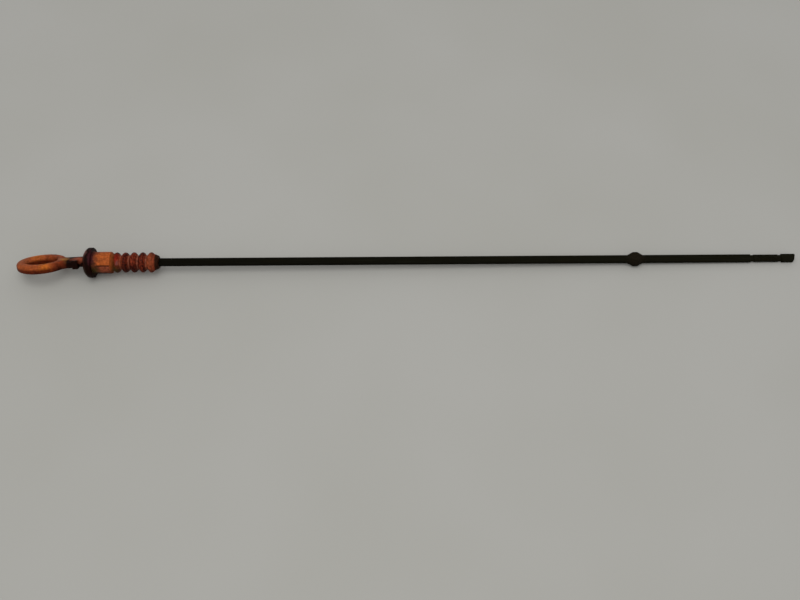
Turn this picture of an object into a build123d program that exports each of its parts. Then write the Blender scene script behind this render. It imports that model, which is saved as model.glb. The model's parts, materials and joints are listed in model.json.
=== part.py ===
"""Engine oil dipstick: a moulded handle with finger ring, flange and ribbed plug, and a moulded rod with a
guide olive and a measuring tip. It lies at rest on the rim of its flange and on a flat of its olive.

Millimetres, +Z up, the stick along X with its tip towards +X. Distances along the stick are counted from
the flange's shoulder, the face that seats on the mouth of the dipstick tube.
"""

import os
from math import acos, atan2, cos, hypot, pi, sin, sqrt, tan

from build123d import *

# Flange of the handle
flange_diameter = 24.0
flange_rim = 3.6
flange_chamfer = 0.6
dome_depth = 3.6
dome_bulge = 1.2
dome_root_diameter = 8.0

# Sealing plug of the handle
plug_diameter = 17.2
plug_length = 14.5
plug_chamfer = 0.9
rib_diameter = 16.0
rib_root_diameter = 11.2
rib_pitch = 6.75
rib_count = 5
rib_round = 2.0
rib_groove = 0.7
collar_length = 6.1
collar_base_diameter = 15.2
collar_end_diameter = 10.2

# Straight bands that the rounds of the dome and of each rib's crest are turned in
turned_bands = 4

# Finger ring, neck, lug and stem of the handle, a flat moulding turned and drooped from the stick
ring_length = 38.5
ring_width = 30.3
ring_flattening = 2.15
ring_band = 7.0
ring_thickness = 7.0
ring_round = 2.6
largest_round_share = 0.45
ring_turn = 34.0
ring_droop = 3.0
neck_length = 10.9
neck_width = 10.4
neck_blend = 4.0
lug_length = 4.7
lug_reach = 6.6
lug_chamfer = 0.4
stem_length = 4.1
stem_width = 8.6
stem_anchor = 3.0

# Shaft of the rod and its seat in the handle
rod_reach = 559.2
rod_width = 6.2
rod_thickness = 3.2
rod_round = 0.5
tang_length = 30.0
tang_fit = 0.05

# Guide olive of the rod
olive_station = 430.2
olive_diameter = 11.3
olive_crown = 3.6
olive_taper = 7.2
olive_round = 1.2
olive_flats = 8.8

# Measuring tip of the rod
head_length = 11.5
head_slant = 2.1
head_round = 0.9
notch_length = 2.6
notch_width = 5.2
notch_thickness = 2.2
level_length = 19.6
level_width = 5.8
level_thickness = 2.8
hatch_pitch = 2.75
hatch_groove = 0.6
hatch_depth = 0.25

# Places along the stick
dome_back = -(flange_rim + dome_depth)
rib_foot = (rib_pitch - rib_groove) / 2
first_rib = plug_length + rib_groove + rib_foot
rib_crests = [first_rib + i * rib_pitch for i in range(rib_count)]
ribs_end = rib_crests[-1] + rib_foot
handle_end = rib_crests[-1] + collar_length
tang_start = handle_end - tang_length
head_start = rod_reach - head_length
low_notch = head_start - notch_length
level_start = low_notch - level_length
high_notch = level_start - notch_length

# Places along the stick behind the flange
neck_end = dome_back - stem_length
ring_root = neck_end - neck_length
ring_reach = ring_length - ring_root

# Rest: the line from the shoulder's edge to the foremost edge of the olive's flat lies on the floor
olive_radius = olive_diameter / 2
olive_root = rod_thickness / 2
flat_end = olive_crown / 2 + olive_taper * (olive_diameter - olive_flats) / (olive_diameter - 2 * olive_root)
rest_drop = (flange_diameter - olive_flats) / 2
rest_run = olive_station + flat_end + flange_chamfer
rest_pitch = atan2(rest_drop, rest_run)
shoulder_height = (olive_flats / 2) * cos(rest_pitch) + (olive_station + flat_end) * sin(rest_pitch)
shoulder_x = -(rod_reach - ring_reach) / 2

stick_plane = Plane(
    origin=(shoulder_x, 0, shoulder_height),
    x_dir=(cos(rest_pitch), 0, -sin(rest_pitch)),
    z_dir=(sin(rest_pitch), 0, cos(rest_pitch)),
)
section_plane = Plane(stick_plane.origin, x_dir=stick_plane.x_dir, z_dir=-stick_plane.y_dir)
stick_axis = Axis(stick_plane.origin, stick_plane.x_dir)


def along_stick(distance):
    """Plane square to the stick, with its x across the floor and its y up."""
    origin = stick_plane.from_local_coords((distance, 0, 0))
    return Plane(origin, x_dir=stick_plane.y_dir, z_dir=stick_plane.x_dir)


def oval(length, width, end_radius):
    """Four-centre oval: two end arcs that run into two flatter side arcs without a kink."""
    end_centre = length / 2 - end_radius
    half_width = width / 2
    side_radius = (end_centre**2 + half_width**2 - end_radius**2) / (2 * (half_width - end_radius))
    side_centre = side_radius - half_width
    overshoot = end_radius / (side_radius - end_radius)
    join_x = end_centre * (1 + overshoot)
    join_y = side_centre * overshoot
    with BuildSketch() as outline:
        with BuildLine():
            ThreePointArc((join_x, -join_y), (length / 2, 0), (join_x, join_y))
            ThreePointArc((join_x, join_y), (0, half_width), (-join_x, join_y))
            ThreePointArc((-join_x, join_y), (-length / 2, 0), (-join_x, -join_y))
            ThreePointArc((-join_x, -join_y), (0, -half_width), (join_x, -join_y))
        make_face()
    return outline.sketch


# Ring and neck as drawn in their own plane
ring_end_radius = ring_width / 2 - ring_flattening
ring_outline = oval(ring_length, ring_width, ring_end_radius)
ring_opening = oval(ring_length - 2 * ring_band, ring_width - 2 * ring_band, ring_end_radius - ring_band)
ring_origin = stick_plane.from_local_coords((ring_root, 0, 0))
ring_level = Plane(ring_origin, x_dir=stick_plane.x_dir, z_dir=stick_plane.z_dir)
ring_plane = ring_level.rotated((-ring_turn, -ring_droop, 0))
neck_overlap = ring_band / 2
stem_root = neck_length + stem_length + stem_anchor

# Round edges of the ring and neck, cut as three bevels that touch the round: a mitre, then its two corners
edge_round = min(ring_round, largest_round_share * min(ring_band, ring_thickness))
edge_bevel = edge_round * (2 - sqrt(2))
bevel_trim = edge_round * (sqrt(2) - 1 - tan(pi / 16))

# Radii of the turned profile
dome_root_radius = dome_root_diameter / 2
flange_radius = flange_diameter / 2
plug_radius = plug_diameter / 2
rib_radius = rib_diameter / 2
rib_root = rib_root_diameter / 2
collar_base = collar_base_diameter / 2
collar_tip = collar_end_diameter / 2
band_steps = [band / turned_bands for band in range(turned_bands + 1)]

# Rib section: straight flanks that rise from the groove's floor and run into a round crest
crest_centre = rib_radius - rib_round
foot_bearing = atan2(rib_foot, rib_root - crest_centre)
crest_angle = foot_bearing - acos(rib_round / hypot(rib_foot, rib_root - crest_centre))
crest_edge = rib_round * sin(crest_angle)
crest_edge_radius = crest_centre + rib_round * cos(crest_angle)

# Lug on one side of the neck, square-edged where the ring and neck are rounded
with BuildPart() as lug:
    with BuildSketch(ring_plane):
        with Locations((neck_length, 0)):
            Rectangle(lug_length, lug_reach, align=(Align.MAX, Align.MAX))
    extrude(amount=ring_thickness / 2, both=True)
    chamfer(lug.edges(), lug_chamfer)

# Handle: ring, neck and stem with the lug, then the turned flange, plug and ribs, the tapered collar and the
# tang's socket
with BuildPart() as handle:
    with BuildSketch(ring_plane) as loop:
        with Locations((-ring_length / 2, 0)):
            add(ring_outline)
        with BuildLine():
            Polyline(
                (-neck_overlap, neck_width / 2),
                (stem_root, neck_width / 2),
                (stem_root, neck_width / 2 - stem_width),
                (neck_length, neck_width / 2 - stem_width),
                (neck_length - lug_length, -neck_width / 2),
                (-neck_overlap, -neck_width / 2),
                close=True,
            )
        make_face()
        fillet(loop.vertices().group_by(Axis.X)[-4], neck_blend)
        with Locations((-ring_length / 2, 0)):
            add(ring_opening, mode=Mode.SUBTRACT)
    extrude(amount=ring_thickness / 2, both=True)
    chamfer(handle.faces().filter_by(ring_plane).edges(), edge_bevel)
    chamfer(handle.edges().filter_by(ring_plane), bevel_trim)
    add(lug)

    with BuildSketch(section_plane):
        with BuildLine():
            dome_root = (dome_back, dome_root_radius)
            dome_rim = (-flange_rim, flange_radius)
            dome = SagittaArc(dome_root, dome_rim, dome_bulge, mode=Mode.PRIVATE)
            Line((dome_back, 0), dome_root)
            Polyline(*[dome @ step for step in band_steps])
            Polyline(
                dome_rim,
                (-flange_chamfer, flange_radius),
                (0, flange_radius - flange_chamfer),
                (0, plug_radius),
                (plug_length - plug_chamfer, plug_radius),
                (plug_length, plug_radius - plug_chamfer),
                (plug_length, crest_edge_radius),
                (rib_crests[0] - crest_edge, crest_edge_radius),
            )
            for crest in rib_crests:
                rise = (crest - crest_edge, crest_edge_radius)
                fall = (crest + crest_edge, crest_edge_radius)
                crown = ThreePointArc(rise, (crest, rib_radius), fall, mode=Mode.PRIVATE)
                Polyline(*[crown @ step for step in band_steps])
                Line(fall, (crest + rib_foot, rib_root))
            for crest in rib_crests[1:]:
                Polyline(
                    (crest - rib_foot - rib_groove, rib_root),
                    (crest - rib_foot, rib_root),
                    (crest - crest_edge, crest_edge_radius),
                )
            Polyline((ribs_end, rib_root), (ribs_end, 0), (dome_back, 0))
        make_face()
    revolve(axis=stick_axis)

    with BuildSketch(section_plane):
        with BuildLine():
            Polyline(
                (rib_crests[-1], 0),
                (rib_crests[-1], collar_base),
                (handle_end, collar_tip),
                (handle_end, 0),
                close=True,
            )
        make_face()
    revolve(axis=stick_axis)

    with BuildSketch(along_stick(handle_end)):
        RectangleRounded(rod_width + 2 * tang_fit, rod_thickness + 2 * tang_fit, rod_round + tang_fit)
    extrude(amount=-tang_length, mode=Mode.SUBTRACT)

# Rod: shaft with its tang, olive with two flats, notches and level zone, slanted head, then the hatching
with BuildPart() as rod:
    with BuildSketch(along_stick(tang_start)):
        RectangleRounded(rod_width, rod_thickness, rod_round)
    extrude(amount=high_notch - tang_start)

    with BuildSketch(section_plane) as olive:
        with BuildLine():
            Polyline(
                (olive_station - olive_crown / 2 - olive_taper, olive_root),
                (olive_station - olive_crown / 2, olive_radius),
                (olive_station + olive_crown / 2, olive_radius),
                (olive_station + olive_crown / 2 + olive_taper, olive_root),
                (olive_station + olive_crown / 2 + olive_taper, 0),
                (olive_station - olive_crown / 2 - olive_taper, 0),
                close=True,
            )
        make_face()
        fillet(olive.vertices().sort_by(Axis.Y)[-2:], olive_round)
    revolve(axis=stick_axis)
    for side in (1, -1):
        with BuildSketch(stick_plane.offset(side * olive_flats / 2)):
            with Locations((olive_station, 0)):
                Rectangle(olive_crown + 2 * olive_taper, olive_diameter)
        extrude(amount=side * olive_diameter, mode=Mode.SUBTRACT)

    for start in (high_notch, low_notch):
        with BuildSketch(along_stick(start)):
            RectangleRounded(notch_width, notch_thickness, rod_round)
        extrude(amount=notch_length)
    with BuildSketch(along_stick(level_start)):
        RectangleRounded(level_width, level_thickness, rod_round)
    extrude(amount=level_length)

    with BuildSketch(stick_plane) as head:
        with BuildLine():
            Polyline(
                (head_start, -rod_width / 2),
                (rod_reach - head_slant, -rod_width / 2),
                (rod_reach, rod_width / 2),
                (head_start, rod_width / 2),
                close=True,
            )
        make_face()
        fillet(head.vertices().sort_by(Axis.X)[-2:], head_round)
    extrude(amount=rod_thickness / 2, both=True)

    hatch_rows = int((level_length - level_width) / hatch_pitch)
    for side in (1, -1):
        with BuildSketch(stick_plane.offset(side * level_thickness / 2)):
            with Locations((level_start + level_length / 2, 0)):
                with GridLocations(hatch_pitch, 0, hatch_rows, 1):
                    Rectangle(2 * level_width, hatch_groove, rotation=45)
                    Rectangle(2 * level_width, hatch_groove, rotation=-45)
        extrude(amount=-side * hatch_depth, mode=Mode.SUBTRACT)

os.makedirs("parts", exist_ok=True)
handle.part.label = "handle"
rod.part.label = "rod"
export_step(handle.part, "parts/handle.step")
export_step(rod.part, "parts/rod.step")
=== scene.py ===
"""Engine oil dipstick, dressed: a moulded orange handle under oily grime, and a moulded black rod.

Lengths are in millimetres in the stick's own frame until a mesh is placed: along the stick from the flange's
shoulder towards the tip, across it level with the floor, and up from it.
"""

import json
import logging
from collections.abc import Callable, Mapping, Sequence
from dataclasses import dataclass
from enum import Enum
from math import acos, asin, atan2, ceil, cos, degrees, hypot, pi, radians, sin, sqrt, tan
from typing import Any

import bmesh
import bpy
from mathutils import Matrix, Vector, noise


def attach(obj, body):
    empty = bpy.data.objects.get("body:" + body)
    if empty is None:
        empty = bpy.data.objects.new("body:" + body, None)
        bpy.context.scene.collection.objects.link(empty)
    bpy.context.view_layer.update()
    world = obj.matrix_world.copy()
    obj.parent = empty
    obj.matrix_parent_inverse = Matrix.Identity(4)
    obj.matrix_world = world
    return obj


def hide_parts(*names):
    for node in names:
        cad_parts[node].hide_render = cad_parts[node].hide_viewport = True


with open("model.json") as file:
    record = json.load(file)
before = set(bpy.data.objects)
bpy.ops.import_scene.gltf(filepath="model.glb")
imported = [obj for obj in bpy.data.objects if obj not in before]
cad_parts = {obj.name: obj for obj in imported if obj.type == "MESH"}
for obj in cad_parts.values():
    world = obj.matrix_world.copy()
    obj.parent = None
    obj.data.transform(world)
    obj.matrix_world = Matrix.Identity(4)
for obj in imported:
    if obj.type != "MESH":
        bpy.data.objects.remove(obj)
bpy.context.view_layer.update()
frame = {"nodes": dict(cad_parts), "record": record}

LOG = logging.getLogger("dipstick")
BODY = "root"
MM = 0.001
ARC_STEP = 9.0
SHARP_ANGLE = 34.0

NYLON_IOR = 1.53
BUMP_STRENGTH = 0.5

Point = tuple[float, float]
Span = tuple[float, float]
Place = tuple[float, float, float]
Colour = tuple[float, float, float, float]

# Values between which nearly all of a noise pattern lies, and its middle
NOISE_SPAN: Span = (0.3, 0.7)
NOISE_MIDDLE: Place = (0.5, 0.5, 0.5)


def linear(hex_code: str) -> Colour:
    """Turns an sRGB colour into the linear values that shaders take.

    Args:
        hex_code: The colour as "#rrggbb".

    Returns:
        Linear red, green and blue, with an alpha of 1.
    """
    channels = [int(hex_code[i : i + 2], 16) / 255 for i in (1, 3, 5)]
    red, green, blue = (c / 12.92 if c <= 0.04045 else ((c + 0.055) / 1.055) ** 2.4 for c in channels)
    return red, green, blue, 1.0


class Tone(Enum):
    """Colours of the mouldings, of what has dried on them, of shade and highlights painted on them, and of
    the studio.
    """

    CLEAN_ORANGE = "#9b4d22"
    RING_ORANGE = "#914824"
    AMBER = "#ac5c1b"
    FADED_PINK = "#7c4830"
    LOWER_HALF_PAINTED_SHADE = "#80402a"
    RED_BROWN = "#6f2c14"
    OIL_STAIN = "#300f06"
    UNDERSIDE_PAINTED_SHADE = "#4c1806"
    OPENING_PAINTED_SHADE = "#481604"
    OCHRE = "#8a5a24"
    RUST_FILM = "#86422c"
    CAKED_GRIME_AND_SHADE = "#150401"
    MAUVE_PAINTED_SHEEN = "#3e171d"
    OLIVE_SLUDGE = "#33260e"
    ROOT_FILM = "#4c241b"
    PINK_PAINTED_HIGHLIGHT = "#8c5a54"
    BROWN_EDGE = "#5a2c0c"
    SEAM_DIRT = "#2c0b03"
    PALE_GROOVE = "#7e4634"
    RIB_BROWN = "#561d0f"
    RIB_STAIN_AND_SHADE = "#260b07"
    RIB_RED = "#7a1f10"
    RIB_ORANGE = "#78301b"
    RIB_TIP = "#8c4428"
    COLLAR_STAIN = "#271005"
    ROD_BLACK = "#0c0b05"
    ROD_DUSTY = "#14130b"
    ROD_BROWN_FILM = "#120f06"
    OLIVE_WEAR_AND_HIGHLIGHT = "#201912"
    FLOOR_BOARD = "#abaaa5"
    FLOOR_SHADE = "#a8a7a1"
    STUDIO_WHITE = "#ffffff"

    @property
    def colour(self) -> Colour:
        """The tone as linear values."""
        return linear(self.value)


ToneStops = tuple[tuple[float, Tone], ...]


def add_node(
    tree: bpy.types.NodeTree,
    kind: str,
    inputs: Mapping[Any, Any] | None = None,
    stops: Sequence[tuple[float, Colour]] = (),
    **settings: Any,
) -> bpy.types.Node:
    """Adds one shader node with its settings, values and links.

    Args:
        tree: The node tree that takes the node.
        kind: Blender's type name for the node.
        inputs: Values, or sockets to link from, by the input's name or number.
        stops: Positions and colours of a colour ramp, in order.
        settings: The node's own properties.

    Returns:
        The new node.
    """
    node = tree.nodes.new(kind)
    for name, value in settings.items():
        setattr(node, name, value)
    for index, (position, colour) in enumerate(stops):
        elements = node.color_ramp.elements
        stop = elements[index] if index < len(elements) else elements.new(position)
        stop.position = position
        stop.color = colour
    for name, value in (inputs or {}).items():
        if isinstance(value, bpy.types.NodeSocket):
            tree.links.new(value, node.inputs[name])
        else:
            node.inputs[name].default_value = value
    return node


@dataclass(frozen=True)
class StickFrame:
    """The stick's own frame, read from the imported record's plug mount."""

    shoulder: Vector
    along: Vector

    @classmethod
    def from_record(cls, record: Mapping[str, Any]) -> "StickFrame":
        """Finds the shoulder's centre and the stick's direction.

        Args:
            record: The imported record.

        Returns:
            The frame of the stick as it lies at rest.
        """
        plug = next(mount for mount in record["mounts"] if mount["name"] == "plug")
        along = Vector(plug["axis"]).normalized()
        back = plug["dims"]["length_mm"] * MM / 2
        return cls(Vector(plug["pos_m"]) - along * back, along)

    @property
    def pitch(self) -> float:
        """Angle in radians by which the tip lies lower than the handle."""
        return atan2(-self.along.z, self.along.x)

    @property
    def placing(self) -> Matrix:
        """Matrix from millimetres in the stick's frame to metres in the part's frame."""
        turn = Matrix.Rotation(self.pitch, 4, "Y")
        return Matrix.Translation(self.shoulder) @ turn @ Matrix.Scale(MM, 4)


def stick_coordinates(tree: bpy.types.NodeTree, stick: StickFrame) -> bpy.types.NodeSocket:
    """Adds the nodes that give a shading point in millimetres in the stick's frame.

    Args:
        tree: The material's node tree.
        stick: The frame of the stick.

    Returns:
        The socket that carries the point.
    """
    place = add_node(tree, "ShaderNodeTexCoord")
    mapping = add_node(
        tree,
        "ShaderNodeMapping",
        {
            "Vector": place.outputs["Object"],
            "Location": stick.shoulder,
            "Rotation": (0.0, stick.pitch, 0.0),
            "Scale": (MM, MM, MM),
        },
        vector_type="TEXTURE",
    )
    return mapping.outputs["Vector"]


def distance_from_axis(tree: bpy.types.NodeTree, split: bpy.types.Node) -> bpy.types.NodeSocket:
    """Adds the nodes that give a shading point's distance from the stick's axis.

    Args:
        tree: The material's node tree.
        split: The node that splits the point into its coordinates.

    Returns:
        The socket that carries the distance.
    """
    flat = add_node(tree, "ShaderNodeCombineXYZ", {"Y": split.outputs["Y"], "Z": split.outputs["Z"]})
    distance = add_node(tree, "ShaderNodeVectorMath", {0: flat.outputs["Vector"]}, operation="LENGTH")
    return distance.outputs["Value"]


def soft_cover(
    tree: bpy.types.NodeTree,
    under: bpy.types.NodeSocket,
    tone: Tone,
    value: bpy.types.NodeSocket,
    edge: Span,
    cover: bpy.types.NodeSocket | float,
) -> bpy.types.NodeSocket:
    """Lays a tone over a colour on one side of a soft edge.

    Args:
        tree: The material's node tree.
        under: The colour so far.
        tone: The tone that is laid over it.
        value: What is measured across the edge.
        edge: Values where the cover begins to thin and where it has gone.
        cover: Share of the colour that is hidden before the edge.

    Returns:
        The colour's socket.
    """
    mask = add_node(
        tree, "ShaderNodeMapRange",
        {"Value": value, "From Min": edge[0], "From Max": edge[1], "To Min": cover, "To Max": 0.0},
    )
    laid = add_node(
        tree, "ShaderNodeMix", {0: mask.outputs["Result"], 6: under, 7: tone.colour}, data_type="RGBA",
    )
    return laid.outputs[2]


def new_material(name: str) -> tuple[bpy.types.Material, bpy.types.NodeTree]:
    """Makes an empty node material.

    Args:
        name: The material's name.

    Returns:
        The material and its cleared node tree.
    """
    material = bpy.data.materials.new(name)
    material.use_nodes = True
    material.node_tree.nodes.clear()
    return material, material.node_tree


@dataclass(frozen=True)
class GrimeStop:
    """What covers the handle at one place along the stick."""

    station: float
    tone: Tone


@dataclass(frozen=True)
class SoftPatch:
    """A soft-edged patch of dirt, oil, fading, painted shade or painted highlight at one place on the
    handle.
    """

    place: Place
    size: Place
    tone: Tone
    cover: float


@dataclass(frozen=True)
class GrimyNylon:
    """Glass-filled nylon, injection moulded in orange, half wiped and half under old engine oil.

    The mould leaves a satin skin with a fine grain, drawn coarser than it is so that it shows. Oil has dried
    near-black on the neck and flange, has soaked the ribs red-brown with paler grooves, and was kept off the
    plug by the tube's mouth. Shade is painted on the lower sides of the ring, neck, plug and ribs and in the
    ring's opening, and highlights are painted on the tops of the neck, first rib and flange.

    Sizes are in millimetres. A zone runs along the stick, levels run up from below, and an edge runs from
    full cover to none.
    """

    seam_turn: float
    ring_plane: Matrix
    opening: tuple[float, float]
    opening_lead: float
    plug_radius: float
    plug_length: float
    rib_start: float
    rib_end: float
    rib_radius: float
    rib_root: float
    stops: tuple[GrimeStop, ...]
    stains_and_painted_light: tuple[SoftPatch, ...]
    films_and_painted_light: tuple[SoftPatch, ...]
    edge_wander: float = 2.2
    blotch_size: float = 3.2
    blotch_depth: float = 0.24
    fleck_size: float = 1.6
    fleck_depth: float = 0.22
    streak_pitch: float = 0.9
    streak_run: float = 14.0
    streak_depth: float = 0.05
    smear_share: float = 0.35
    grain_size: float = 0.5
    grain_height: float = 0.05
    crust_height: float = 0.25
    roughness: Span = (0.34, 0.56)
    specular: float = 0.04
    patch_edge: Span = (0.35, 1.15)
    rib_stops: ToneStops = ((0.4, Tone.RIB_STAIN_AND_SHADE), (0.5, Tone.RIB_BROWN), (0.62, Tone.RIB_ORANGE))
    groove_cover: float = 0.9
    groove_heights: Span = (0.02, 0.3)
    rib_fade_in: float = 0.8
    rib_fade_out: float = 0.6
    underside_cover: float = 0.95
    underside_zone: Span = (-9.0, -4.0)
    underside_levels: Span = (-0.4, 1.6)
    opening_cover: float = 0.9
    opening_levels: Span = (-0.6, 1.0)
    opening_edge: Span = (1.06, 1.2)
    cake_zone: Span = (-6.0, -4.0)
    cake_clearance: Span = (0.2, 1.0)
    seam_edge: Span = (0.3, 0.6)
    seam_zone: Span = (1.5, 4.0)
    seam_fade_out: float = 0.8
    shaded_half_levels: Span = (-0.6, 0.3)

    def build(self, stick: StickFrame) -> bpy.types.Material:
        """Makes the material.

        Args:
            stick: The frame of the stick.

        Returns:
            The finished material.
        """
        material, tree = new_material("glass_filled_nylon_moulded_orange")
        point = stick_coordinates(tree, stick)
        blotch = add_node(
            tree, "ShaderNodeTexNoise",
            {"Vector": point, "Scale": 1 / self.blotch_size, "Detail": 3.0, "Roughness": 0.6},
        )
        fleck = add_node(
            tree, "ShaderNodeTexNoise",
            {"Vector": point, "Scale": 1 / self.fleck_size, "Detail": 3.0, "Roughness": 0.55},
        )
        grain = add_node(
            tree, "ShaderNodeTexNoise", {"Vector": point, "Scale": 1 / self.grain_size, "Detail": 2.0},
        )
        drawn = add_node(
            tree, "ShaderNodeVectorMath",
            {0: point, 1: (1 / self.streak_pitch, 1 / self.streak_run, 1 / self.streak_run)},
            operation="MULTIPLY",
        )
        streak = add_node(
            tree, "ShaderNodeTexNoise",
            {"Vector": drawn.outputs["Vector"], "Scale": 1.0, "Detail": 3.0, "Roughness": 0.6},
        )

        # The point moved about by the blotches, so that every edge of dirt, painted shade and painted
        # highlight wanders
        centred = add_node(
            tree, "ShaderNodeVectorMath", {0: blotch.outputs["Color"], 1: NOISE_MIDDLE},
            operation="SUBTRACT",
        )
        wander = add_node(
            tree, "ShaderNodeVectorMath", {0: centred.outputs["Vector"], 3: 2 * self.edge_wander},
            operation="SCALE",
        )
        wandered = add_node(
            tree, "ShaderNodeVectorMath", {0: point, 1: wander.outputs["Vector"]}, operation="ADD",
        )

        grimed = self.grime(tree, wandered.outputs["Vector"])
        smear = add_node(
            tree, "ShaderNodeMix",
            {0: self.smear_share, 2: streak.outputs["Fac"], 3: fleck.outputs["Fac"]},
        )
        ribbed = self.ribs(tree, point, grimed, smear.outputs[0])
        seamed = self.seam(tree, point, ribbed)
        stained = self.patches(tree, wandered.outputs["Vector"], seamed, self.stains_and_painted_light)
        caked = self.flange(tree, point, stained)
        # Painted shade below the ring and neck's middle plane and in the ring's opening
        oiled = self.underside(tree, point, caked)
        filmed = self.patches(tree, wandered.outputs["Vector"], oiled, self.films_and_painted_light)

        # Blotches, flecks and streaks that break every colour up
        low, high = NOISE_SPAN
        depths = ((blotch, self.blotch_depth), (fleck, self.fleck_depth), (streak, self.streak_depth))
        skin = filmed
        for pattern, depth in depths:
            level = add_node(
                tree, "ShaderNodeMapRange",
                {"Value": pattern.outputs["Fac"], "From Min": low, "From Max": high,
                 "To Min": 1 - depth, "To Max": 1 + depth},
            )
            scaled = add_node(
                tree, "ShaderNodeVectorMath", {0: skin, 3: level.outputs["Result"]}, operation="SCALE",
            )
            skin = scaled.outputs["Vector"]

        roughness = add_node(
            tree, "ShaderNodeMapRange",
            {"Value": fleck.outputs["Fac"], "From Min": low, "From Max": high,
             "To Min": self.roughness[0], "To Max": self.roughness[1]},
        )
        bump = add_node(
            tree, "ShaderNodeBump",
            {"Height": grain.outputs["Fac"], "Distance": self.grain_height * MM, "Strength": BUMP_STRENGTH},
        )
        crust = add_node(
            tree, "ShaderNodeBump",
            {"Height": fleck.outputs["Fac"], "Distance": self.crust_height * MM, "Strength": BUMP_STRENGTH,
             "Normal": bump.outputs["Normal"]},
        )
        shader = add_node(
            tree, "ShaderNodeBsdfPrincipled",
            {"Base Color": skin, "Roughness": roughness.outputs["Result"],
             "Normal": crust.outputs["Normal"], "IOR": NYLON_IOR, "Specular IOR Level": self.specular},
        )
        add_node(tree, "ShaderNodeOutputMaterial", {"Surface": shader.outputs["BSDF"]})
        return material

    def grime(self, tree: bpy.types.NodeTree, point: bpy.types.NodeSocket) -> bpy.types.NodeSocket:
        """Lays the colours that change along the stick.

        Args:
            tree: The material's node tree.
            point: The wandering point in the stick's frame.

        Returns:
            The colour's socket.
        """
        split = add_node(tree, "ShaderNodeSeparateXYZ", {"Vector": point})
        first, last = self.stops[0].station, self.stops[-1].station
        share = add_node(
            tree, "ShaderNodeMapRange",
            {"Value": split.outputs["X"], "From Min": first, "From Max": last},
        )
        ramp = add_node(
            tree, "ShaderNodeValToRGB", {"Fac": share.outputs["Result"]},
            [((stop.station - first) / (last - first), stop.tone.colour) for stop in self.stops],
        )
        return ramp.outputs["Color"]

    def ribs(
        self,
        tree: bpy.types.NodeTree,
        point: bpy.types.NodeSocket,
        under: bpy.types.NodeSocket,
        smear: bpy.types.NodeSocket,
    ) -> bpy.types.NodeSocket:
        """Darkens the ribs and leaves their grooves pale.

        Args:
            tree: The material's node tree.
            point: The point in the stick's frame.
            under: The colour so far.
            smear: The pattern of streaks and flecks that runs round the stick.

        Returns:
            The colour's socket.
        """
        split = add_node(tree, "ShaderNodeSeparateXYZ", {"Vector": point})
        radius = distance_from_axis(tree, split)
        height = add_node(
            tree, "ShaderNodeMapRange",
            {"Value": radius, "From Min": self.rib_root, "From Max": self.rib_radius},
        )
        lobe = add_node(
            tree, "ShaderNodeValToRGB", {"Fac": smear}, [(at, tone.colour) for at, tone in self.rib_stops],
        )
        grooved = soft_cover(
            tree, lobe.outputs["Color"], Tone.PALE_GROOVE,
            height.outputs["Result"], self.groove_heights, self.groove_cover,
        )
        begins = add_node(
            tree, "ShaderNodeMapRange",
            {"Value": split.outputs["X"], "From Min": self.rib_start,
             "From Max": self.rib_start + self.rib_fade_in},
        )
        zone = add_node(
            tree, "ShaderNodeMapRange",
            {"Value": split.outputs["X"], "From Min": self.rib_end,
             "From Max": self.rib_end + self.rib_fade_out,
             "To Min": begins.outputs["Result"], "To Max": 0.0},
        )
        ribbed = add_node(
            tree, "ShaderNodeMix",
            {0: zone.outputs["Result"], 6: under, 7: grooved}, data_type="RGBA",
        )
        return ribbed.outputs[2]

    def patches(
        self,
        tree: bpy.types.NodeTree,
        point: bpy.types.NodeSocket,
        under: bpy.types.NodeSocket,
        stains_and_painted_light: Sequence[SoftPatch],
    ) -> bpy.types.NodeSocket:
        """Lays patches of dirt, painted shade and painted highlights one over the other.

        Args:
            tree: The material's node tree.
            point: The wandering point in the stick's frame.
            under: The colour so far.
            stains_and_painted_light: The patches of dirt, painted shade and painted highlights, the lowest
                first.

        Returns:
            The colour's socket.
        """
        for patch in stains_and_painted_light:
            offset = add_node(tree, "ShaderNodeVectorMath", {0: point, 1: patch.place}, operation="SUBTRACT")
            share = add_node(
                tree, "ShaderNodeVectorMath", {0: offset.outputs["Vector"], 1: patch.size},
                operation="DIVIDE",
            )
            away = add_node(tree, "ShaderNodeVectorMath", {0: share.outputs["Vector"]}, operation="LENGTH")
            under = soft_cover(
                tree, under, patch.tone, away.outputs["Value"], self.patch_edge, patch.cover,
            )
        return under

    def underside(
        self, tree: bpy.types.NodeTree, point: bpy.types.NodeSocket, under: bpy.types.NodeSocket
    ) -> bpy.types.NodeSocket:
        """Paints shade on the ring and neck below their own middle plane, and on the lower wall of the
        opening.

        Args:
            tree: The material's node tree.
            point: The point in the stick's frame.
            under: The colour so far.

        Returns:
            The colour's socket.
        """
        flat = add_node(
            tree, "ShaderNodeMapping",
            {"Vector": point, "Location": self.ring_plane.to_translation(),
             "Rotation": self.ring_plane.to_euler()},
            vector_type="TEXTURE",
        )
        split = add_node(tree, "ShaderNodeSeparateXYZ", {"Vector": flat.outputs["Vector"]})
        zone = add_node(
            tree, "ShaderNodeMapRange",
            {"Value": split.outputs["X"], "From Min": self.underside_zone[0],
             "From Max": self.underside_zone[1], "To Min": self.underside_cover, "To Max": 0.0},
        )
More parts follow.
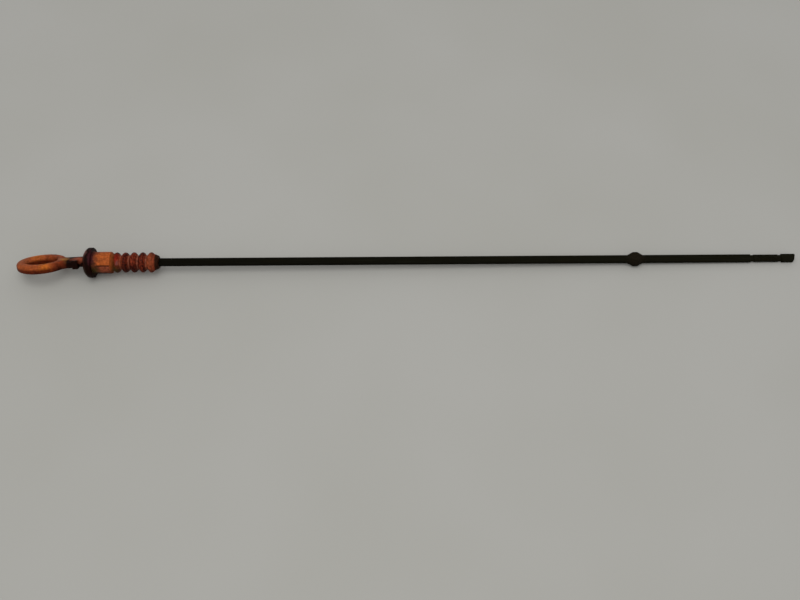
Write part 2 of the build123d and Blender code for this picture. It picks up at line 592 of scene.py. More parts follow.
        # Painted shade on the ring and neck below their own middle plane
        oiled = soft_cover(
            tree, under, Tone.UNDERSIDE_PAINTED_SHADE, split.outputs["Z"], self.underside_levels, zone.outputs["Result"],
        )
        length, width = self.opening
        share = add_node(
            tree, "ShaderNodeVectorMath",
            {0: flat.outputs["Vector"], 1: (2 / length, 2 / width, 0.0), 2: (self.opening_lead, 0.0, 0.0)},
            operation="MULTIPLY_ADD",
        )
        away = add_node(tree, "ShaderNodeVectorMath", {0: share.outputs["Vector"]}, operation="LENGTH")
        deep = add_node(
            tree, "ShaderNodeMapRange",
            {"Value": split.outputs["Z"], "From Min": self.opening_levels[0],
             "From Max": self.opening_levels[1], "To Min": self.opening_cover, "To Max": 0.0},
        )
        # Painted shade on the lower inner wall of the finger opening
        return soft_cover(
            tree, oiled, Tone.OPENING_PAINTED_SHADE, away.outputs["Value"], self.opening_edge, deep.outputs["Result"],
        )

    def flange(
        self, tree: bpy.types.NodeTree, point: bpy.types.NodeSocket, under: bpy.types.NodeSocket
    ) -> bpy.types.NodeSocket:
        """Cakes the flange, front face and all, with dried oil.

        Args:
            tree: The material's node tree.
            point: The point in the stick's frame.
            under: The colour so far.

        Returns:
            The colour's socket.
        """
        split = add_node(tree, "ShaderNodeSeparateXYZ", {"Vector": point})
        begins = add_node(
            tree, "ShaderNodeMapRange",
            {"Value": split.outputs["X"], "From Min": self.cake_zone[0], "From Max": self.cake_zone[1]},
        )
        clear, caked = (self.plug_radius + gap for gap in self.cake_clearance)
        radius = distance_from_axis(tree, split)
        return soft_cover(tree, under, Tone.CAKED_GRIME_AND_SHADE, radius, (caked, clear), begins.outputs["Result"])

    def seam(
        self, tree: bpy.types.NodeTree, point: bpy.types.NodeSocket, under: bpy.types.NodeSocket
    ) -> bpy.types.NodeSocket:
        """Draws dirt along the plug's parting seam and paints shade, as a duller tone, on the mould half
        below it.

        Args:
            tree: The material's node tree.
            point: The point in the stick's frame.
            under: The colour so far.

        Returns:
            The colour's socket.
        """
        turn = radians(self.seam_turn)
        split = add_node(tree, "ShaderNodeSeparateXYZ", {"Vector": point})
        lean = add_node(
            tree, "ShaderNodeVectorMath", {0: point, 1: (0.0, sin(turn), cos(turn))},
            operation="DOT_PRODUCT",
        )
        off = add_node(tree, "ShaderNodeMath", {0: lean.outputs["Value"]}, operation="ABSOLUTE")
        begins = add_node(
            tree, "ShaderNodeMapRange",
            {"Value": split.outputs["X"], "From Min": self.seam_zone[0], "From Max": self.seam_zone[1]},
        )
        zone = add_node(
            tree, "ShaderNodeMapRange",
            {"Value": split.outputs["X"], "From Min": self.plug_length - self.seam_fade_out,
             "From Max": self.plug_length, "To Min": begins.outputs["Result"], "To Max": 0.0},
        )
        cover = zone.outputs["Result"]
        # Duller tone on the mould half below the seam, painted as shade
        dulled = soft_cover(
            tree, under, Tone.LOWER_HALF_PAINTED_SHADE, lean.outputs["Value"], self.shaded_half_levels, cover,
        )
        return soft_cover(tree, dulled, Tone.SEAM_DIRT, off.outputs["Value"], self.seam_edge, cover)


@dataclass(frozen=True)
class OiledBlackNylon:
    """Glass-filled nylon, injection moulded in black, matt from the glass and dulled by a thin oil film.

    The film runs along the rod in streaks, a little browner where it is thick and greyer where dust sticks,
    which is more and more towards the tip. The guide olive is paler, partly from wear by the tube and partly
    as a painted highlight. The grain is drawn coarser than it is, so that it shows.
    """

    start: float
    reach: float
    olive_station: float
    olive_half: float
    least_dust: float = 0.75
    most_dust: float = 1.5
    streak_length: float = 26.0
    streak_width: float = 1.6
    film_stops: ToneStops = ((0.3, Tone.ROD_BROWN_FILM), (0.5, Tone.ROD_BLACK), (0.72, Tone.ROD_DUSTY))
    speck_size: float = 0.9
    paler_span: Span = (0.35, 0.65)
    paler_core: float = 0.4
    grain_size: float = 0.4
    grain_height: float = 0.05
    roughness: Span = (0.5, 0.66)
    specular: float = 0.02

    def build(self, stick: StickFrame) -> bpy.types.Material:
        """Makes the material.

        Args:
            stick: The frame of the stick.

        Returns:
            The finished material.
        """
        material, tree = new_material("glass_filled_nylon_moulded_black")
        point = stick_coordinates(tree, stick)
        drawn = add_node(
            tree, "ShaderNodeVectorMath",
            {0: point, 1: (1 / self.streak_length, 1 / self.streak_width, 1 / self.streak_width)},
            operation="MULTIPLY",
        )
        streak = add_node(
            tree, "ShaderNodeTexNoise",
            {"Vector": drawn.outputs["Vector"], "Scale": 1.0, "Detail": 4.0, "Roughness": 0.6},
        )
        speck = add_node(
            tree, "ShaderNodeTexNoise", {"Vector": point, "Scale": 1 / self.speck_size, "Detail": 3.0},
        )
        grain = add_node(
            tree, "ShaderNodeTexNoise", {"Vector": point, "Scale": 1 / self.grain_size, "Detail": 2.0},
        )
        film = add_node(
            tree, "ShaderNodeValToRGB", {"Fac": streak.outputs["Fac"]},
            [(at, tone.colour) for at, tone in self.film_stops],
        )
        split = add_node(tree, "ShaderNodeSeparateXYZ", {"Vector": point})
        dust = add_node(
            tree, "ShaderNodeMapRange",
            {"Value": split.outputs["X"], "From Min": self.start, "From Max": self.reach,
             "To Min": self.least_dust, "To Max": self.most_dust},
        )
        dusted = add_node(
            tree, "ShaderNodeVectorMath", {0: film.outputs["Color"], 3: dust.outputs["Result"]},
            operation="SCALE",
        )
        off = add_node(
            tree, "ShaderNodeMath", {0: split.outputs["X"], 1: self.olive_station}, operation="SUBTRACT",
        )
        away = add_node(tree, "ShaderNodeMath", {0: off.outputs["Value"]}, operation="ABSOLUTE")
        paler_share = add_node(
            tree, "ShaderNodeMapRange",
            {"Value": speck.outputs["Fac"], "From Min": self.paler_span[0], "From Max": self.paler_span[1]},
        )
        # Paler olive: partly wear from the tube, partly a painted highlight
        paler_olive = soft_cover(
            tree, dusted.outputs["Vector"], Tone.OLIVE_WEAR_AND_HIGHLIGHT, away.outputs["Value"],
            (self.olive_half * self.paler_core, self.olive_half), paler_share.outputs["Result"],
        )
        roughness = add_node(
            tree, "ShaderNodeMapRange",
            {"Value": speck.outputs["Fac"], "From Min": NOISE_SPAN[0], "From Max": NOISE_SPAN[1],
             "To Min": self.roughness[0], "To Max": self.roughness[1]},
        )
        bump = add_node(
            tree, "ShaderNodeBump",
            {"Height": grain.outputs["Fac"], "Distance": self.grain_height * MM, "Strength": BUMP_STRENGTH},
        )
        shader = add_node(
            tree, "ShaderNodeBsdfPrincipled",
            {"Base Color": paler_olive, "Roughness": roughness.outputs["Result"],
             "Normal": bump.outputs["Normal"], "IOR": NYLON_IOR, "Specular IOR Level": self.specular},
        )
        add_node(tree, "ShaderNodeOutputMaterial", {"Surface": shader.outputs["BSDF"]})
        return material


@dataclass(frozen=True)
class PaleBoard:
    """Melamine-faced board, pressed smooth: a pale satin sheet with the faintest clouding."""

    cloud_size: float = 180.0
    cloud_stops: ToneStops = ((0.35, Tone.FLOOR_SHADE), (0.65, Tone.FLOOR_BOARD))
    roughness: float = 0.55
    specular: float = 0.2

    def build(self) -> bpy.types.Material:
        """Makes the material.

        Returns:
            The finished material.
        """
        material, tree = new_material("melamine_board_pale")
        place = add_node(tree, "ShaderNodeTexCoord")
        cloud = add_node(
            tree, "ShaderNodeTexNoise",
            {"Vector": place.outputs["Object"], "Scale": 1 / (self.cloud_size * MM), "Detail": 2.0},
        )
        tone = add_node(
            tree, "ShaderNodeValToRGB", {"Fac": cloud.outputs["Fac"]},
            [(at, tone.colour) for at, tone in self.cloud_stops],
        )
        shader = add_node(
            tree, "ShaderNodeBsdfPrincipled",
            {"Base Color": tone.outputs["Color"], "Roughness": self.roughness,
             "Specular IOR Level": self.specular},
        )
        add_node(tree, "ShaderNodeOutputMaterial", {"Surface": shader.outputs["BSDF"]})
        return material


@dataclass
class Studio:
    """Pale floor, soft overhead light and the camera at the photograph's angle."""

    image_width: int = 800
    focal_px: float = 880.0
    mm_per_px: float = 0.797
    tilt: float = 33.0
    roll: float = 0.97
    aim_x: float = -7.0
    aim_z: float = 7.6
    drop_px: float = 39.2
    sensor_width: float = 36.0
    floor_span: float = 6000.0
    lamp_height: float = 1800.0
    lamp_shift: float = -80.0
    lamp_offset: float = -420.0
    lamp_size: float = 1500.0
    lamp_power: float = 15.4
    ambient: float = 0.58

    def floor(self) -> None:
        """Makes the floor and gives it its finish."""
        mesh = bpy.data.meshes.new("floor")
        half = self.floor_span * MM / 2
        corners = [(-half, -half, 0), (half, -half, 0), (half, half, 0), (-half, half, 0)]
        mesh.from_pydata(corners, [], [(0, 1, 2, 3)])
        floor = bpy.data.objects.new("floor", mesh)
        bpy.context.scene.collection.objects.link(floor)
        mesh.materials.append(PaleBoard().build())

    def lights(self) -> None:
        """Adds the overhead lamp and the even light of the room."""
        lamp = bpy.data.lights.new("overhead_softbox", "AREA")
        lamp.shape = "SQUARE"
        lamp.size = self.lamp_size * MM
        lamp.energy = self.lamp_power
        softbox = bpy.data.objects.new("overhead_softbox", lamp)
        place = Vector((self.lamp_shift, self.lamp_offset, self.lamp_height)) * MM
        softbox.location = place
        softbox.rotation_euler = (-place).to_track_quat("-Z", "Y").to_euler()
        bpy.context.scene.collection.objects.link(softbox)
        world = bpy.data.worlds.new("room_light")
        world.use_nodes = True
        room = world.node_tree.nodes["Background"]
        room.inputs["Color"].default_value = Tone.STUDIO_WHITE.colour
        room.inputs["Strength"].default_value = self.ambient
        bpy.context.scene.world = world

    def camera(self) -> None:
        """Adds the camera, looking down the tilt with a slight roll, and makes it the scene's own."""
        tilt, roll = radians(self.tilt), radians(self.roll)
        back = Vector((0.0, -sin(tilt), cos(tilt)))
        level_right = Vector((1.0, 0.0, 0.0))
        level_up = Vector((0.0, cos(tilt), sin(tilt)))
        right = level_right * cos(roll) - level_up * sin(roll)
        up = level_up * cos(roll) + level_right * sin(roll)
        distance = self.focal_px * self.mm_per_px
        aim = Vector((self.aim_x, 0.0, self.aim_z))
        place = (aim + back * distance - up * self.drop_px * self.mm_per_px) * MM
        lens = bpy.data.cameras.new("camera")
        lens.sensor_width = self.sensor_width
        lens.lens = self.focal_px / self.image_width * self.sensor_width
        camera = bpy.data.objects.new("camera", lens)
        turn = Matrix((right, up, back)).transposed().to_4x4()
        camera.matrix_world = Matrix.Translation(place) @ turn
        bpy.context.scene.collection.objects.link(camera)
        bpy.context.scene.camera = camera


class Edge(Enum):
    """What a flat body's loop bounds, with the side of the loop on which the body lies."""

    OUTLINE = 1
    OPENING = -1


class Joining(Enum):
    """How one body is combined with another, by Blender's name for it."""

    ADD = "UNION"
    CUT = "DIFFERENCE"


@dataclass(frozen=True)
class Corner:
    """A corner of a drawn path, with the radius that rounds it."""

    x: float
    y: float
    round: float = 0.0


def arc(centre: Point, radius: float, start: float, end: float) -> list[Point]:
    """Draws a circular arc.

    Args:
        centre: The arc's centre.
        radius: The arc's radius.
        start: Angle of its first point, in degrees.
        end: Angle of its last point, in degrees.

    Returns:
        Points along the arc, both ends among them.
    """
    steps = max(1, ceil(abs(end - start) / ARC_STEP))
    angles = [radians(start + (end - start) * i / steps) for i in range(steps + 1)]
    return [(centre[0] + radius * cos(a), centre[1] + radius * sin(a)) for a in angles]


def rounded_path(corners: Sequence[Corner], longest: float) -> list[Point]:
    """Draws an open path through its corners, each rounded by its own radius.

    Args:
        corners: The path's corners, in order.
        longest: The longest stretch that two neighbouring points may span.

    Returns:
        Points along the path.
    """
    points = [(corners[0].x, corners[0].y)]
    for before, corner, after in zip(corners, corners[1:], corners[2:]):
        middle = Vector((corner.x, corner.y))
        back = (Vector((before.x, before.y)) - middle).normalized()
        ahead = (Vector((after.x, after.y)) - middle).normalized()
        half = back.angle(ahead) / 2
        centre = middle + (back + ahead).normalized() * corner.round / sin(half)
        reach = corner.round / tan(half)
        enter, leave = middle + back * reach - centre, middle + ahead * reach - centre
        start = degrees(atan2(enter.y, enter.x))
        turn = (degrees(atan2(leave.y, leave.x)) - start + 180) % 360 - 180
        points += arc(tuple(centre), corner.round, start, start + turn) if corner.round else [tuple(middle)]
    points.append((corners[-1].x, corners[-1].y))
    path = points[:1]
    for first, second in zip(points, points[1:]):
        parts = max(1, ceil(hypot(second[0] - first[0], second[1] - first[1]) / longest))
        path += [
            tuple(Vector(first).lerp(Vector(second), part / parts)) for part in range(1, parts + 1)
        ]
    return path


@dataclass(frozen=True)
class Oval:
    """A four-centre oval: two end arcs that run into two flatter side arcs without a kink."""

    length: float
    width: float
    end_radius: float

    @property
    def end_centre(self) -> float:
        """Distance of each end arc's centre from the middle."""
        return self.length / 2 - self.end_radius

    @property
    def side_radius(self) -> float:
        """Radius of the two side arcs."""
        half = self.width / 2
        return (self.end_centre**2 + half**2 - self.end_radius**2) / (2 * (half - self.end_radius))

    @property
    def join(self) -> float:
        """Angle at which an end arc runs into a side arc, in degrees."""
        return degrees(atan2(self.side_radius - self.width / 2, self.end_centre))

    def upper_half(self, start: float = 0.0) -> list[Point]:
        """Draws the half with positive y, from the right to the left.

        Args:
            start: Angle on the right end arc where the half begins, in degrees.

        Returns:
            Points along the half.
        """
        drop = self.width / 2 - self.side_radius
        right = arc((self.end_centre, 0.0), self.end_radius, start, self.join)
        top = arc((0.0, drop), self.side_radius, self.join, 180 - self.join)
        left = arc((-self.end_centre, 0.0), self.end_radius, 180 - self.join, 180)
        return right + top[1:] + left[1:]


def mirrored_loop(upper: Sequence[Point]) -> list[Point]:
    """Closes an upper half with its mirror image.

    Args:
        upper: The half's points, from the right to the left, ending on the mirror line.

    Returns:
        The closed loop's points, anticlockwise.
    """
    lower = [(x, -y) for x, y in reversed(upper[:-1]) if y > 0]
    return list(upper) + lower


def mesh_object(name: str, form: bmesh.types.BMesh, placing: Matrix) -> bpy.types.Object:
    """Turns a built form into an object in the scene.

    Args:
        name: The object's name.
        form: The form, freed here.
        placing: Matrix that places the form.

    Returns:
        The new object.
    """
    bmesh.ops.recalc_face_normals(form, faces=form.faces)
    mesh = bpy.data.meshes.new(name)
    form.to_mesh(mesh)
    form.free()
    mesh.transform(placing)
    piece = bpy.data.objects.new(name, mesh)
    bpy.context.scene.collection.objects.link(piece)
    return piece


def turned(
    name: str, profile: Sequence[Point], angles: Sequence[float], lift: Callable[[Vector, float], float]
) -> bpy.types.Object:
    """Turns a profile about the stick's axis.

    Args:
        name: The object's name.
        profile: Stations and radii, from one point on the axis to the other.
        angles: Angles round the stick, in radians.
        lift: Gives how far the skin stands proud at a point and an angle.

    Returns:
        The turned object, in the stick's frame.
    """
    form = bmesh.new()
    rings = []
    for station, radius in profile[1:-1]:
        ring = []
        for angle in angles:
            outward = Vector((0.0, cos(angle), sin(angle)))
            skin = Vector((station, 0.0, 0.0)) + outward * radius
            ring.append(form.verts.new(skin + outward * lift(skin, angle)))
        rings.append(ring)
    count = len(angles)
    for one, two in zip(rings, rings[1:]):
        for i in range(count):
            j = (i + 1) % count
            form.faces.new((one[i], one[j], two[j], two[i]))
    for (station, _), ring in ((profile[0], rings[0]), (profile[-1], rings[-1])):
        pole = form.verts.new((station, 0.0, 0.0))
        for i in range(count):
            form.faces.new((ring[i], ring[(i + 1) % count], pole))
    return mesh_object(name, form, Matrix.Identity(4))


def moved_in(loop: Sequence[Point], distance: float) -> list[Point]:
    """Moves an anticlockwise loop's points inwards.

    Args:
        loop: The loop's points.
        distance: How far each point moves; outwards where negative.

    Returns:
        The moved points.
    """
    moved = []
    for i, (x, y) in enumerate(loop):
        before, after = loop[i - 1], loop[(i + 1) % len(loop)]
        run = Vector((after[0] - before[0], after[1] - before[1])).normalized()
        moved.append((x - run.y * distance, y + run.x * distance))
    return moved


def slab(
    name: str,
    loops: Sequence[tuple[Sequence[Point], Edge]],
    layers: Sequence[Point],
    placing: Matrix,
) -> bpy.types.Object:
    """Builds a flat body from its outline and openings, layer by layer.

    Args:
        name: The object's name.
        loops: Each anticlockwise loop with what it bounds.
        layers: How far in the wall stands and at what level, from the lowest layer to the highest.
        placing: Matrix that places the body.

    Returns:
        The placed body.
    """
    form = bmesh.new()
    rims: tuple[list[bmesh.types.BMEdge], ...] = ([], [])
    for loop, edge in loops:
        rings = [
            [form.verts.new((x, y, level)) for x, y in moved_in(loop, edge.value * inset)]
            for inset, level in layers
        ]
        count = len(loop)
        for one, two in zip(rings, rings[1:]):
            for i in range(count):
                j = (i + 1) % count
                form.faces.new((one[i], one[j], two[j], two[i]))
        for rim, ring in zip(rims, (rings[0], rings[-1])):
            rim += [form.edges.get((ring[i], ring[(i + 1) % count])) for i in range(count)]
    for rim in rims:
        bmesh.ops.triangle_fill(form, edges=rim, use_beauty=True)
    return mesh_object(name, form, placing)


def combine(base: bpy.types.Object, tool: bpy.types.Object, joining: Joining) -> None:
    """Joins a body to the base or cuts it from the base, and removes the body.

    Args:
        base: The object that keeps the result.
        tool: The body that is joined or cut away.
        joining: Whether the body is joined or cut away.
    """
    modifier = base.modifiers.new("combine", "BOOLEAN")
    modifier.operation = joining.value
    modifier.solver = "EXACT"
    modifier.object = tool
    depsgraph = bpy.context.evaluated_depsgraph_get()
    result = bpy.data.meshes.new_from_object(base.evaluated_get(depsgraph))
    base.modifiers.remove(modifier)
    base.data = result
    bpy.data.objects.remove(tool)


def weld(piece: bpy.types.Object, reach: float) -> None:
    """Closes up the slivers that combining leaves along the lines where bodies meet.

    Args:
        piece: The object whose mesh is cleaned.
        reach: Distance within which points become one.
    """
    form = bmesh.new()
    form.from_mesh(piece.data)
    bmesh.ops.triangulate(form, faces=[face for face in form.faces if len(face.verts) > 4])
    bmesh.ops.remove_doubles(form, verts=form.verts, dist=reach)
    bmesh.ops.dissolve_degenerate(form, edges=form.edges, dist=reach)
    form.to_mesh(piece.data)
    form.free()


@dataclass
class Handle:
    """The orange moulding: finger ring, neck, lug, stem, flange, plug, ribs and collar."""

    stick: StickFrame
    flange_diameter: float = 24.0
    flange_rim: float = 3.6
    flange_round: float = 0.8
    rim_blend: float = 2.0
    dome_depth: float = 3.6
    dome_root_diameter: float = 8.0
    dome_crown: float = 0.56
    dome_crown_diameter: float = 18.1
    dome_round: float = 7.5
    plug_diameter: float = 17.2
    plug_length: float = 14.5
    plug_round: float = 1.0
    rib_diameter: float = 16.0
    rib_root_diameter: float = 11.2
    rib_pitch: float = 6.75
    rib_count: int = 5
    rib_round: float = 2.0
    rib_groove: float = 0.7
    groove_round: float = 0.3
    first_groove_diameter: float = 14.4
    first_groove_round: float = 0.2
    collar_length: float = 6.1
    collar_base_diameter: float = 15.2
    collar_end_diameter: float = 10.2
    collar_round: float = 1.0
    ring_length: float = 38.5
    ring_width: float = 30.3
    ring_end_radius: float = 13.0
    ring_band: float = 7.0
    ring_thickness: float = 7.0
    ring_round: float = 2.4
    ring_turn: float = 34.0
    ring_droop: float = 3.0
    neck_length: float = 10.9
    neck_width: float = 10.4
    neck_blend: float = 4.0
    lug_length: float = 4.7
    lug_reach: float = 6.6
    lug_round: float = 0.4
    stem_length: float = 4.1
    stem_width: float = 8.6
    stem_anchor: float = 3.0
    tang_length: float = 30.0
    tang_width: float = 6.3
    tang_thickness: float = 3.3
    tang_round: float = 0.55
    turned_sides: int = 150
    longest_step: float = 1.2
    weld_reach: float = 0.02
    seam_turn: float = 37.0
    seam_ridge: float = 0.12
    seam_spread: float = 1.5
    seam_points: tuple[float, ...] = (-1.0, -0.5, 0.0, 0.5, 1.0)
    seam_margin: float = 1.2
    flash_line: float = 0.07
    flash_spread: float = 0.25
    lump_size: float = 2.4
    rib_lumps: float = 0.16
    flange_lumps: float = 0.07
    plug_lumps: float = 0.02

    @property
    def rib_foot(self) -> float:
        """Half of a rib's width at its foot."""
        return (self.rib_pitch - self.rib_groove) / 2

    @property
    def crests(self) -> list[float]:
        """Stations of the ribs' crests."""
        first = self.plug_length + self.rib_groove + self.rib_foot
        return [first + i * self.rib_pitch for i in range(self.rib_count)]

    @property
    def end(self) -> float:
        """Station of the collar's end."""
        return self.crests[-1] + self.collar_length

    @property
    def ring_root(self) -> float:
        """Station where the ring runs into the neck."""
        return -(self.flange_rim + self.dome_depth + self.stem_length + self.neck_length)

    @property
    def ring_plane(self) -> Matrix:
        """Matrix from the ring's own plane, with the ring's root at its origin, to the stick's frame."""
        turn = Matrix.Rotation(radians(-self.ring_turn), 4, "X")
        droop = Matrix.Rotation(radians(-self.ring_droop), 4, "Y")
        return Matrix.Translation((self.ring_root, 0.0, 0.0)) @ turn @ droop

    @property
    def crest_slope(self) -> float:
        """Angle of a rib's flanks from the stick, in radians."""
        rise = self.rib_root_diameter / 2 - (self.rib_diameter / 2 - self.rib_round)
        bearing = atan2(self.rib_foot, rise)
        return bearing - acos(self.rib_round / hypot(self.rib_foot, rise))

    def turned_profile(self) -> list[Point]:
        """Draws the flange, plug, ribs and collar from the dome's middle to the collar's end.

        Returns:
            Stations and radii along the skin.
        """
        dome_back = -(self.flange_rim + self.dome_depth)
        flange, plug = self.flange_diameter / 2, self.plug_diameter / 2
        root = self.rib_root_diameter / 2
        apex = self.rib_diameter / 2 - self.rib_round + self.rib_round / cos(self.crest_slope)
        first_floor = self.first_groove_diameter / 2
        first_foot = self.crests[0] - (apex - first_floor) / tan(self.crest_slope)
        corners = [
            Corner(dome_back, 0.0),
            Corner(dome_back, self.dome_root_diameter / 2),
            Corner(dome_back - self.dome_crown, self.dome_crown_diameter / 2, self.dome_round),
            Corner(-self.flange_rim, flange, self.rim_blend),
            Corner(0.0, flange, self.flange_round),
            Corner(0.0, plug, self.groove_round),
            Corner(self.plug_length, plug, self.plug_round),
            Corner(self.plug_length, first_floor, self.first_groove_round),
            Corner(first_foot, first_floor, self.first_groove_round),
        ]
        for crest in self.crests:
            if crest > self.crests[0]:
                corners.append(Corner(crest - self.rib_foot, root, self.groove_round))
            corners.append(Corner(crest, apex, self.rib_round))
            corners.append(Corner(crest + self.rib_foot, root, self.groove_round))
        base, tip = self.collar_base_diameter / 2, self.collar_end_diameter / 2
        taper = (base - tip) / self.collar_length
        meet = (apex - base) / (tan(self.crest_slope) - taper)
        corners[-1] = Corner(self.crests[-1] + meet, base - taper * meet, self.groove_round)
        corners += [Corner(self.end, tip, self.collar_round), Corner(self.end, 0.0)]
        return rounded_path(corners, self.longest_step)

    def turned_angles(self) -> list[float]:
        """Spaces the angles round the stick, closer at the two lines of the parting seam.

        Returns:
            The angles in radians, in order.
        """
        even = [2 * pi * i / self.turned_sides for i in range(self.turned_sides)]
        spread = radians(self.seam_spread)
        lines = self.seam_angles()
        seams = [line + part * spread for line in lines for part in self.seam_points]
        clear = [a for a in even if all(abs(a - line) > self.seam_margin * spread for line in lines)]
        return sorted(clear + seams)

    def seam_angles(self) -> tuple[float, float]:
        """Angles round the stick of the parting seam's two lines, in radians."""
        return pi - radians(self.seam_turn), 2 * pi - radians(self.seam_turn)

    def unevenness(self, skin: Vector, angle: float) -> float:
        """Gives the height of seam ridge and dirt on the turned skin.

        Args:
            skin: The point on the plain skin.
            angle: Its angle round the stick, in radians.

        Returns:
            How far the skin stands proud.
        """
        station = skin.x
        if station < 0:
            return self.flange_lumps * noise.noise(skin / self.lump_size)
        if station < self.plug_length:
            off = min(abs(angle - line) for line in self.seam_angles()) / radians(self.seam_spread)
            return self.seam_ridge * max(0.0, 1 - off) + self.plug_lumps * noise.noise(skin / self.lump_size)
        return self.rib_lumps * noise.noise(skin / self.lump_size)

    def ring_outline(self) -> list[Point]:
        """Draws the outline of ring, neck and stem in their own plane.

        Returns:
            The loop's points, anticlockwise, with the ring's root at the origin.
        """
        half = self.neck_width / 2
        near = half - self.stem_width
        root = self.neck_length + self.stem_length + self.stem_anchor
        oval = Oval(self.ring_length, self.ring_width, self.ring_end_radius)
        rise = half + self.neck_blend
        lean = degrees(asin(rise / (self.ring_end_radius + self.neck_blend)))
        blend_x = sqrt((self.ring_end_radius + self.neck_blend) ** 2 - rise**2) - self.ring_end_radius
        far_side = arc((blend_x, rise), self.neck_blend, 270, 180 + lean)
        far_side += [(x - self.ring_length / 2, y) for x, y in oval.upper_half(lean)[1:]]
        near_side = [(x, -y) for x, y in reversed(far_side[:-1])]
        stem = [(self.neck_length - self.lug_length, -half), (self.neck_length, near), (root, near)]
        return [(root, half)] + far_side + near_side + stem

    def lug_outline(self) -> list[Point]:
        """Draws the lug on the near side of the neck in the ring's plane.

        Returns:
            The loop's points, anticlockwise.
        """
        start, end, near = self.neck_length - self.lug_length, self.neck_length, -self.lug_reach
        inner = self.lug_round
        outer = arc((start + inner, near + inner), inner, 180, 270)
        outer += arc((end - inner, near + inner), inner, 270, 360)
        return outer + [(end, 0.0), (start, 0.0)]

    def ring_opening(self) -> list[Point]:
        """Draws the finger opening in the ring's plane.

        Returns:
            The loop's points, anticlockwise.
        """
        trim = 2 * self.ring_band
        oval = Oval(self.ring_length - trim, self.ring_width - trim, self.ring_end_radius - self.ring_band)
        return [(x - self.ring_length / 2, y) for x, y in mirrored_loop(oval.upper_half())]

    def ring_layers(self) -> list[Point]:
        """Draws the section of the ring's wall: a round, a flat with a fine flash line, and a round.

        Returns:
            How far in the wall stands and at what level.
        """
        half = self.ring_thickness / 2
        low = [
            (self.ring_round - x, y - half + self.ring_round)
            for x, y in arc((0.0, 0.0), self.ring_round, -90, 0)
        ]
        flash = [(0.0, -self.flash_spread), (-self.flash_line, 0.0), (0.0, self.flash_spread)]
        high = [(inset, -level) for inset, level in reversed(low)]
        return low + flash + high

    def build(self) -> bpy.types.Object:
        """Builds the handle's mesh in place of the CAD node.

        Returns:
            The handle's object.
        """
        handle = turned("handle_moulding", self.turned_profile(), self.turned_angles(), self.unevenness)
        loops = ((self.ring_outline(), Edge.OUTLINE), (self.ring_opening(), Edge.OPENING))
        combine(handle, slab("ring_body", loops, self.ring_layers(), self.ring_plane), Joining.ADD)
        half, inner = self.ring_thickness / 2 + self.flash_line / 2, self.lug_round
        square = ((inner, -half), (0.0, inner - half), (0.0, half - inner), (inner, half))
        lug = ((self.lug_outline(), Edge.OUTLINE),)
        combine(handle, slab("lug_body", lug, square, self.ring_plane), Joining.ADD)
        across, up = self.tang_width / 2, self.tang_thickness / 2
        inner = self.tang_round
        socket = arc((across - inner, up - inner), inner, 0, 90)
        socket += arc((inner - across, up - inner), inner, 90, 180)
        socket += [(-x, -y) for x, y in socket]
        along = Matrix(((0, 0, 1, self.end), (1, 0, 0, 0), (0, 1, 0, 0), (0, 0, 0, 1)))
        depth = ((0.0, -self.tang_length), (0.0, self.collar_length))
        combine(handle, slab("socket_core", ((socket, Edge.OUTLINE),), depth, along), Joining.CUT)
        weld(handle, self.weld_reach)
        handle.data.transform(self.stick.placing)
        handle.data.shade_smooth()
        handle.data.set_sharp_from_angle(angle=radians(SHARP_ANGLE))
        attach(handle, BODY)
        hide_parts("handle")
        return handle

